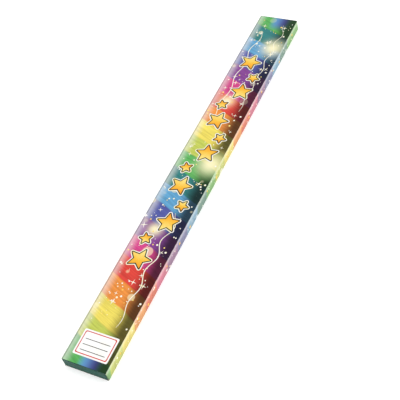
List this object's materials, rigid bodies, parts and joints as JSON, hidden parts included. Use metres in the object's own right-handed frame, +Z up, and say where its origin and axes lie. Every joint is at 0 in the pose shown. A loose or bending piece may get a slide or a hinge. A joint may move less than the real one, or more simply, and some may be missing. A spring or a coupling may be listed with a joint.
{
  "type": "sparkler carton",
  "caption": "Slim tuck-end folding carton of sparklers: a printed board sleeve with hinged end closures, tuck tabs and dust flaps around a layer of dipped wire sticks.",
  "frame": {"origin": "on the table under the middle of the carton", "axes": "+Y along the carton from the handle end to the tip end, +X across it, +Z up"},
  "size_m": [0.0466, 0.4802, 0.0125],
  "materials": {
    "printed_board": "colour print under gloss varnish on bleached board",
    "bare_board": "uncoated inside of the board",
    "coating": "rough dipped and dried composition with metal specks",
    "wire": "drawn wire, dull"
  },
  "bodies": {
    "sleeve": {"top_panel": "printed_board", "bottom_panel": "printed_board", "left_side_panel": "printed_board", "right_side_panel": "printed_board", "glue_flap": "bare_board"},
    "handle_end_closure": {"handle_end_closure": "printed_board"},
    "handle_end_tuck_tab": {"handle_end_tuck_tab": "printed_board"},
    "handle_end_left_dust_flap": {"handle_end_left_dust_flap": "bare_board"},
    "handle_end_right_dust_flap": {"handle_end_right_dust_flap": "bare_board"},
    "tip_end_closure": {"tip_end_closure": "printed_board"},
    "tip_end_tuck_tab": {"tip_end_tuck_tab": "printed_board"},
    "tip_end_left_dust_flap": {"tip_end_left_dust_flap": "bare_board"},
    "tip_end_right_dust_flap": {"tip_end_right_dust_flap": "bare_board"},
    "sparkler_1": {"sparkler_1_wire": "wire", "sparkler_1_coating": "coating"},
    "sparkler_2": {"sparkler_2_wire": "wire", "sparkler_2_coating": "coating"},
    "sparkler_3": {"sparkler_3_wire": "wire", "sparkler_3_coating": "coating"},
    "sparkler_4": {"sparkler_4_wire": "wire", "sparkler_4_coating": "coating"},
    "sparkler_5": {"sparkler_5_wire": "wire", "sparkler_5_coating": "coating"},
    "sparkler_6": {"sparkler_6_wire": "wire", "sparkler_6_coating": "coating"}
  },
  "joints": [
    {"name": "handle_end_closure_hinge", "type": "hinge", "parent": "sleeve", "child": "handle_end_closure", "pos_m": [0, -0.23982, 0.01225], "axis": [-1, 0, 0], "range_deg": [0, 150]},
    {"name": "handle_end_tuck_tab_fold", "type": "hinge", "parent": "handle_end_closure", "child": "handle_end_tuck_tab", "pos_m": [0, -0.23982, 0.00115], "axis": [1, 0, 0], "range_deg": [-18, 15]},
    {"name": "handle_end_left_dust_flap_hinge", "type": "hinge", "parent": "sleeve", "child": "handle_end_left_dust_flap", "pos_m": [-0.023, -0.23902, 0.00625], "axis": [0, 0, -1], "range_deg": [0, 50]},
    {"name": "handle_end_right_dust_flap_hinge", "type": "hinge", "parent": "sleeve", "child": "handle_end_right_dust_flap", "pos_m": [0.023, -0.23902, 0.00625], "axis": [0, 0, 1], "range_deg": [0, 50]},
    {"name": "tip_end_closure_hinge", "type": "hinge", "parent": "sleeve", "child": "tip_end_closure", "pos_m": [0, 0.23982, 0.01225], "axis": [1, 0, 0], "range_deg": [0, 150]},
    {"name": "tip_end_tuck_tab_fold", "type": "hinge", "parent": "tip_end_closure", "child": "tip_end_tuck_tab", "pos_m": [0, 0.23982, 0.00115], "axis": [-1, 0, 0], "range_deg": [-18, 15]},
    {"name": "tip_end_left_dust_flap_hinge", "type": "hinge", "parent": "sleeve", "child": "tip_end_left_dust_flap", "pos_m": [-0.023, 0.23902, 0.00625], "axis": [0, 0, 1], "range_deg": [0, 50]},
    {"name": "tip_end_right_dust_flap_hinge", "type": "hinge", "parent": "sleeve", "child": "tip_end_right_dust_flap", "pos_m": [0.023, 0.23902, 0.00625], "axis": [0, 0, -1], "range_deg": [0, 50]},
    {"name": "sparkler_1_slide", "type": "slide", "parent": "sleeve", "child": "sparkler_1", "axis": [0, 1, 0], "range_m": [-0.003, 0.003]},
    {"name": "sparkler_2_slide", "type": "slide", "parent": "sleeve", "child": "sparkler_2", "axis": [0, 1, 0], "range_m": [-0.003, 0.003]},
    {"name": "sparkler_3_slide", "type": "slide", "parent": "sleeve", "child": "sparkler_3", "axis": [0, 1, 0], "range_m": [-0.003, 0.003]},
    {"name": "sparkler_4_slide", "type": "slide", "parent": "sleeve", "child": "sparkler_4", "axis": [0, 1, 0], "range_m": [-0.003, 0.003]},
    {"name": "sparkler_5_slide", "type": "slide", "parent": "sleeve", "child": "sparkler_5", "axis": [0, 1, 0], "range_m": [-0.003, 0.003]},
    {"name": "sparkler_6_slide", "type": "slide", "parent": "sleeve", "child": "sparkler_6", "axis": [0, 1, 0], "range_m": [-0.003, 0.003]}
  ],
  "couplings": [
    {"joint": "handle_end_left_dust_flap_hinge", "follows": "handle_end_closure_hinge", "ratio": 0.33333},
    {"joint": "handle_end_right_dust_flap_hinge", "follows": "handle_end_closure_hinge", "ratio": 0.33333},
    {"joint": "tip_end_left_dust_flap_hinge", "follows": "tip_end_closure_hinge", "ratio": 0.33333},
    {"joint": "tip_end_right_dust_flap_hinge", "follows": "tip_end_closure_hinge", "ratio": 0.33333}
  ]
}
